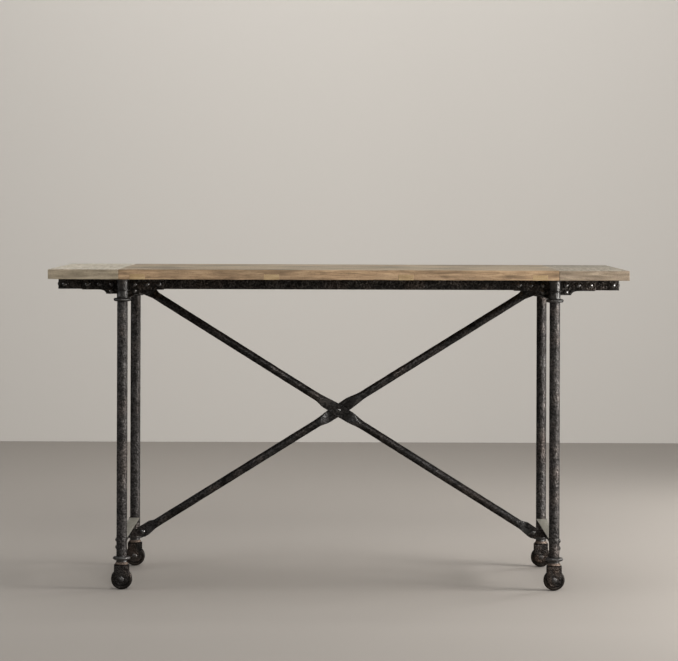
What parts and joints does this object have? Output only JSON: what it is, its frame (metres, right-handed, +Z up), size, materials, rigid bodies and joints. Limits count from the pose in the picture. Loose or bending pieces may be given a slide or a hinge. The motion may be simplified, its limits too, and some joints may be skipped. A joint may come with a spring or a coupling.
{
  "type": "work table",
  "caption": "Plank-topped work table with breadboard ends on a riveted iron frame, with tube legs, a crossed brace and swivel casters.",
  "frame": {"origin": "on the floor, under the centre of the table top", "axes": "+X along the length to the right, +Y from the front to the back, +Z up"},
  "size_m": [1.372, 0.61, 0.765],
  "materials": {
    "plank_wood": "weathered, unvarnished",
    "breadboard_wood": "bleached, weathered",
    "batten_wood": "sawn",
    "frame_iron": "blackened, cast texture",
    "fastener_iron": "blackened, worn on the domes",
    "leg_iron": "blackened, worn",
    "brace_iron": "blackened, hammered",
    "rusted_iron": "brown rust",
    "fork_iron": "blackened, rust-brown in places",
    "wheel_iron": "blackened"
  },
  "bodies": {
    "table": {"plank_1": "plank_wood", "plank_2": "plank_wood", "plank_3": "plank_wood", "plank_4": "plank_wood", "breadboard_left": "breadboard_wood", "breadboard_right": "breadboard_wood", "batten_1": "batten_wood", "batten_2": "batten_wood", "batten_3": "batten_wood", "batten_4": "batten_wood", "front_rail": "frame_iron", "back_rail": "frame_iron", "left_end_rail": "frame_iron", "right_end_rail": "frame_iron", "corner_plates": "frame_iron", "leg_bracket_front_left": "frame_iron", "leg_bracket_front_right": "frame_iron", "leg_bracket_back_left": "frame_iron", "leg_bracket_back_right": "frame_iron", "crossbar_left": "frame_iron", "crossbar_right": "frame_iron", "corner_bolts": "fastener_iron", "bracket_rivets": "fastener_iron", "stretcher_rivets": "fastener_iron", "lug_rivets": "fastener_iron", "brace_bolts": "fastener_iron", "brace_nuts": "fastener_iron", "rail_screws": "fastener_iron", "batten_screws": "fastener_iron", "leg_front_left": "leg_iron", "leg_front_right": "leg_iron", "leg_back_left": "leg_iron", "leg_back_right": "leg_iron", "leg_foot_front_left": "leg_iron", "leg_foot_front_right": "leg_iron", "leg_foot_back_left": "leg_iron", "leg_foot_back_right": "leg_iron", "side_stretcher_left": "leg_iron", "side_stretcher_right": "leg_iron", "brace_front": "brace_iron", "brace_rear": "brace_iron", "brace_lug_upper_left": "brace_iron", "brace_lug_upper_right": "brace_iron", "brace_lug_lower_left": "brace_iron", "brace_lug_lower_right": "brace_iron", "swivel_races": "rusted_iron"},
    "swivel_front_left": {"caster_fork_front_left": "fork_iron", "caster_axle_front_left": "fork_iron"},
    "wheel_front_left": {"caster_wheel_front_left": "wheel_iron"},
    "swivel_front_right": {"caster_fork_front_right": "fork_iron", "caster_axle_front_right": "fork_iron"},
    "wheel_front_right": {"caster_wheel_front_right": "wheel_iron"},
    "swivel_back_left": {"caster_fork_back_left": "fork_iron", "caster_axle_back_left": "fork_iron"},
    "wheel_back_left": {"caster_wheel_back_left": "wheel_iron"},
    "swivel_back_right": {"caster_fork_back_right": "fork_iron", "caster_axle_back_right": "fork_iron"},
    "wheel_back_right": {"caster_wheel_back_right": "wheel_iron"}
  },
  "joints": [
    {"name": "swivel_front_left", "type": "hinge", "parent": "table", "child": "swivel_front_left", "pos_m": [-0.5155, -0.2246, 0.06], "axis": [0, 0, 1], "continuous": true},
    {"name": "roll_front_left", "type": "hinge", "parent": "swivel_front_left", "child": "wheel_front_left", "pos_m": [-0.5155, -0.2246, 0.0254], "axis": [0, 1, 0], "continuous": true},
    {"name": "swivel_front_right", "type": "hinge", "parent": "table", "child": "swivel_front_right", "pos_m": [0.5155, -0.2246, 0.06], "axis": [0, 0, 1], "continuous": true},
    {"name": "roll_front_right", "type": "hinge", "parent": "swivel_front_right", "child": "wheel_front_right", "pos_m": [0.5155, -0.2246, 0.0254], "axis": [0, 1, 0], "continuous": true},
    {"name": "swivel_back_left", "type": "hinge", "parent": "table", "child": "swivel_back_left", "pos_m": [-0.5155, 0.2246, 0.06], "axis": [0, 0, 1], "continuous": true},
    {"name": "roll_back_left", "type": "hinge", "parent": "swivel_back_left", "child": "wheel_back_left", "pos_m": [-0.5155, 0.2246, 0.0254], "axis": [0, 1, 0], "continuous": true},
    {"name": "swivel_back_right", "type": "hinge", "parent": "table", "child": "swivel_back_right", "pos_m": [0.5155, 0.2246, 0.06], "axis": [0, 0, 1], "continuous": true},
    {"name": "roll_back_right", "type": "hinge", "parent": "swivel_back_right", "child": "wheel_back_right", "pos_m": [0.5155, 0.2246, 0.0254], "axis": [0, 1, 0], "continuous": true}
  ]
}
